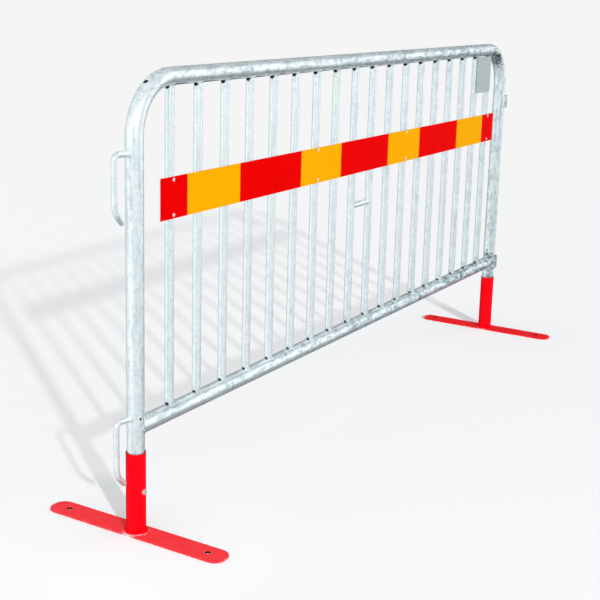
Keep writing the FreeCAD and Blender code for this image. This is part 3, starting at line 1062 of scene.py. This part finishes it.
class BARRIER_OT_zinc_drips(bpy.types.Operator):
    """Lumps and runs of zinc on the tubes, thickest inside the bend at the eyes"""

    bl_idname = "barrier.zinc_drips"
    bl_label = "Zinc drips"

    def execute(self, context):
        random = np.random.default_rng(context.scene.barrier.weld.seed + 3)
        shape = Shape()
        bend = context.scene.barrier.zinc.bend_radius
        for _ in range(30):
            turn = random.uniform(0.1, 1.45)
            lump(shape, self.bend_point(bend), turn * bend, random.normal(math.pi, 0.7),
                 random.uniform(3, 9) * MM, random.uniform(1.5, 4) * MM,
                 random.uniform(0.4, 1.3) * MM, random)
        for _ in range(46):
            x = random.uniform(AT.left_x + 0.15, AT.right_x - 0.15)
            height = AT.top_z if random.random() < 0.4 else AT.bottom_z
            lump(shape, self.rail_point(height), x, random.normal(math.pi, 0.35),
                 random.uniform(4, 16) * MM, random.uniform(1.0, 2.4) * MM,
                 random.uniform(0.4, 1.1) * MM, random)
        zinc_piece(shape, "zinc_drips")
        return {"FINISHED"}

    def rail_point(self, height):
        """Point on a rail by length along X, angle from the top, and height above the skin."""

        def at(along, around, above):
            centre = along[..., None] * X_AXIS + height * Z_AXIS
            return off_tube(centre, Z_AXIS, around, above)

        return at

    def bend_point(self, bend):
        """Point on the bend at the eyes by length along it, angle from its outside, and height
        above the skin."""
        middle_x = AT.right_x - bend
        middle_z = AT.top_z - bend

        def at(along, around, above):
            turn = (along / bend)[..., None]
            outward = np.sin(turn) * X_AXIS + np.cos(turn) * Z_AXIS
            centre = np.array([middle_x, 0, middle_z]) + bend * outward
            return off_tube(centre, outward, around, above)

        return at


def off_tube(centre, outward, around, above):
    """Point above a tube's skin: centre + (tube's radius + above) (cos a * outward - sin a * Y)."""
    out = np.cos(around)[..., None] * outward - np.sin(around)[..., None] * Y_AXIS
    return centre + (AT.tube_radius + above)[..., None] * out


def lump(shape, point, along, around, half_length, half_width_, height, random):
    """Low dome on a tube's skin with an uneven outline. With v from 0 in the middle to 1 at the
    rim and a the angle round it, its reach is v (1 + waves of a), and its height is
    height (1 - v squared) squared, sunk a little below the skin."""
    sides, rows = 12, 5
    angle = turn_steps(sides)
    wave = 1 + 0.22 * np.sin(2 * angle + random.uniform(0, 6)) + 0.12 * np.sin(
        3 * angle + random.uniform(0, 6))
    v = np.linspace(1, 0.2, rows)[:, None]
    s = along + half_length * v * wave * np.cos(angle)
    t = around - half_width_ * v * wave * np.sin(angle) / AT.tube_radius
    above = height * (1 - v ** 2) ** 2 * np.ones(sides) - 0.15 * MM
    rings = point(s, t, above)
    centre = [point(np.array(along), np.array(around), np.array(h)) for h in (-0.5 * MM, height)]
    shape.add_rings(rings, centre[0], centre[1])


class BARRIER_OT_studio(bpy.types.Operator):
    """Pale floor and backdrop, soft lights and the camera"""

    bl_idname = "barrier.studio"
    bl_label = "Studio"

    def execute(self, context):
        look = context.scene.barrier.studio
        context.scene.view_settings.view_transform = "Standard"
        self.floor(look)
        self.backdrop(look)
        self.world(context.scene)
        self.lights(look)
        self.camera(context.scene, look)
        return {"FINISHED"}

    def floor(self, look):
        """Round floor whose light is its own, with a share of real shade near the object and
        nothing but real shade under the feet."""
        material, shader, place = new_material("floor_pale")
        tree = material.node_tree
        x, y, _ = place.parts()
        near = 1 - ((x ** 2 + y ** 2) ** 0.5).ease(3.0, 7.0)
        from_post = ((abs(x) - AT.right_x) ** 2 + y ** 2) ** 0.5
        under_foot = 1 - from_post.ease(0.28, 0.55)
        share = (near * 0.6).most(under_foot)
        glow = place.node("ShaderNodeEmission", inputs={"Color": as_colour(look.pale)})
        shaded = tuple(0.89 * c for c in look.pale)
        feed(shader, {"Base Color": as_colour(shaded), "Roughness": 0.9, "Specular IOR Level": 0.0})
        shade = Wire(tree, shader.outputs[0])
        mixed = place.node("ShaderNodeMixShader", inputs={0: share, 1: glow, 2: shade})
        tree.links.new(mixed.socket, tree.nodes["Material Output"].inputs[0])
        angle = turn_steps(64)
        radius = look.floor_radius
        points = np.stack([radius * np.cos(angle), radius * np.sin(angle), 0 * angle], axis=-1)
        disc = stage_mesh("floor", points, [list(range(64))], material)
        disc.visible_glossy = False

    def backdrop(self, look):
        """Dome of plain light round the floor, which only the camera sees."""
        material, shader, place = new_material("backdrop_pale")
        tree = material.node_tree
        glow = place.node("ShaderNodeEmission", inputs={"Color": as_colour(look.pale)})
        tree.links.new(glow.socket, tree.nodes["Material Output"].inputs[0])
        tree.nodes.remove(shader)
        rows, columns = 15, 48
        turn = np.linspace(0, math.pi / 2, rows + 1)[1:, None]
        angle = turn_steps(columns)
        radius = look.floor_radius
        rings = np.stack([radius * np.sin(turn) * np.cos(angle),
                          radius * np.sin(turn) * np.sin(angle),
                          radius * np.cos(turn) * np.ones(columns) - 10 * MM], axis=-1)
        top = np.array([0, 0, radius])
        points = np.vstack([rings.reshape(-1, 3), top])
        j = np.arange(columns)
        cap = np.stack([np.full(columns, rows * columns), j, (j + 1) % columns], axis=-1)
        faces = grid_faces(rows, columns).tolist() + cap.tolist()
        dome = stage_mesh("backdrop", points, faces, material)
        for way in ("diffuse", "glossy", "transmission", "shadow"):
            setattr(dome, "visible_" + way, False)

    def world(self, scene):
        """Even light with a brighter side at the hooks and a bright window low in front of the
        eyes, and dimmer behind, above and below the eyes. Each is a lobe: the direction times a
        heading, eased between two values."""
        world = bpy.data.worlds.new("studio")
        world.use_nodes = True
        scene.world = world
        tree = world.node_tree
        x, y, z = Wire(tree).node("ShaderNodeTexCoord", output=0).parts()
        level = 0.74
        for name, strength, heading, low, high in (
            ("side at the hooks", 0.32, (-0.86, 0.50, 0.10), 0.45, 0.98),
            ("window", 0.62, (0.84, -0.53, 0.09), 0.84, 0.985),
            ("overhead", 0.05, (-0.2, -0.1, 0.97), 0.55, 0.95),
            ("behind", -0.45, (0.80, 0.60, -0.10), 0.82, 0.985),
            ("above the eyes", -0.26, (0.84, 0.10, 0.53), 0.82, 0.98),
            ("below", -0.55, (0.62, 0.0, -0.78), 0.35, 0.85),
        ):
            facing = x * heading[0] + y * heading[1] + z * heading[2]
            lobe = facing.ease(low, high)
            lobe.socket.node.label = name
            level = level + strength * lobe
        feed(tree.nodes["Background"], {"Color": (0.97, 1.0, 1.02, 1.0), "Strength": level})

    def lights(self, look):
        heading = Vector(look.sun_heading)
        sun = bpy.data.lights.new("sun", "SUN")
        sun.energy = look.sun_strength
        sun.angle = math.radians(1.9)
        turned(sun, Vector((0, 0, 4)), heading).visible_glossy = False
        for name, place, size, energy in (
            ("left_softbox", (-4.6, -0.6, 2.6), 2.6, 12.0),
            ("front_softbox", (-2.5, -2.6, 2.1), 2.0, 18.0),
            ("back_softbox", (1.5, 4.6, 3.0), 3.0, 6.0),
        ):
            lamp = bpy.data.lights.new(name, "AREA")
            lamp.shape = "SQUARE"
            lamp.size = size
            lamp.energy = energy
            turned(lamp, Vector(place), Vector((0, 0, 0.55)) - Vector(place))

    def camera(self, scene, look):
        """Camera by place, yaw from +Y towards +X, pitch down and roll about its own line."""
        yaw, pitch, roll = look.camera_yaw, look.camera_pitch, look.camera_roll
        forward = Vector((math.sin(yaw) * math.cos(pitch), math.cos(yaw) * math.cos(pitch),
                          -math.sin(pitch)))
        level = Vector((math.cos(yaw), -math.sin(yaw), 0))
        upright = level.cross(forward)
        right = math.cos(roll) * level + math.sin(roll) * upright
        up = math.cos(roll) * upright - math.sin(roll) * level
        data = bpy.data.cameras.new("camera")
        data.lens = look.camera_lens
        data.shift_x, data.shift_y = look.camera_shift
        camera = bpy.data.objects.new("camera", data)
        scene.collection.objects.link(camera)
        turn = Matrix((right, up, -forward)).transposed().to_4x4()
        camera.matrix_world = Matrix.Translation(look.camera_place) @ turn
        scene.camera = camera


def stage_mesh(name, points, faces, material):
    mesh = bpy.data.meshes.new(name)
    mesh.from_pydata(points.tolist(), [], faces)
    mesh.materials.append(material)
    piece = bpy.data.objects.new(name, mesh)
    bpy.context.scene.collection.objects.link(piece)
    return piece


def turned(light, place, heading):
    """Puts a lamp at a place with its light going one way, unseen by the camera."""
    lamp = bpy.data.objects.new(light.name, light)
    lamp.location = place
    lamp.rotation_euler = heading.to_track_quat("-Z", "Y").to_euler()
    lamp.visible_camera = False
    bpy.context.scene.collection.objects.link(lamp)
    return lamp


class BarrierSettings(bpy.types.PropertyGroup):
    """All settings of the barrier."""

    zinc: PointerProperty(type=ZincSettings)
    paint: PointerProperty(type=PaintSettings)
    film: PointerProperty(type=FilmSettings)
    weld: PointerProperty(type=WeldSettings)
    studio: PointerProperty(type=StudioSettings)


OPERATORS = (
    BARRIER_OT_zinc_finish,
    BARRIER_OT_foot_finish,
    BARRIER_OT_strip_finish,
    BARRIER_OT_bar_welds,
    BARRIER_OT_fitting_welds,
    BARRIER_OT_foot_welds,
    BARRIER_OT_strip_rivets,
    BARRIER_OT_lock_nut,
    BARRIER_OT_locking_screw,
    BARRIER_OT_zinc_drips,
    BARRIER_OT_studio,
)


class BARRIER_PT_panel(bpy.types.Panel):
    """Sidebar panel with the settings and one button for each piece"""

    bl_label = "Barrier"
    bl_idname = "BARRIER_PT_panel"
    bl_space_type = "VIEW_3D"
    bl_region_type = "UI"
    bl_category = "Barrier"

    def draw(self, context):
        groups = context.scene.barrier
        for name in ("zinc", "paint", "film", "weld", "studio"):
            box = self.layout.box()
            box.label(text=name.capitalize())
            group = getattr(groups, name)
            for key in group.__annotations__:
                box.prop(group, key)
        for operator in OPERATORS:
            self.layout.operator(operator.bl_idname)


CLASSES = (ZincSettings, PaintSettings, FilmSettings, WeldSettings, StudioSettings,
           BarrierSettings) + OPERATORS + (BARRIER_PT_panel,)


def register():
    for cls in CLASSES:
        bpy.utils.register_class(cls)
    bpy.types.Scene.barrier = PointerProperty(type=BarrierSettings)


def unregister():
    del bpy.types.Scene.barrier
    for cls in reversed(CLASSES):
        bpy.utils.unregister_class(cls)


def main():
    """Makes every piece in order."""
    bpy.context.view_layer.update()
    register()
    for operator in OPERATORS:
        group, name = operator.bl_idname.split(".")
        getattr(getattr(bpy.ops, group), name)()


if __name__ == "__main__":
    main()
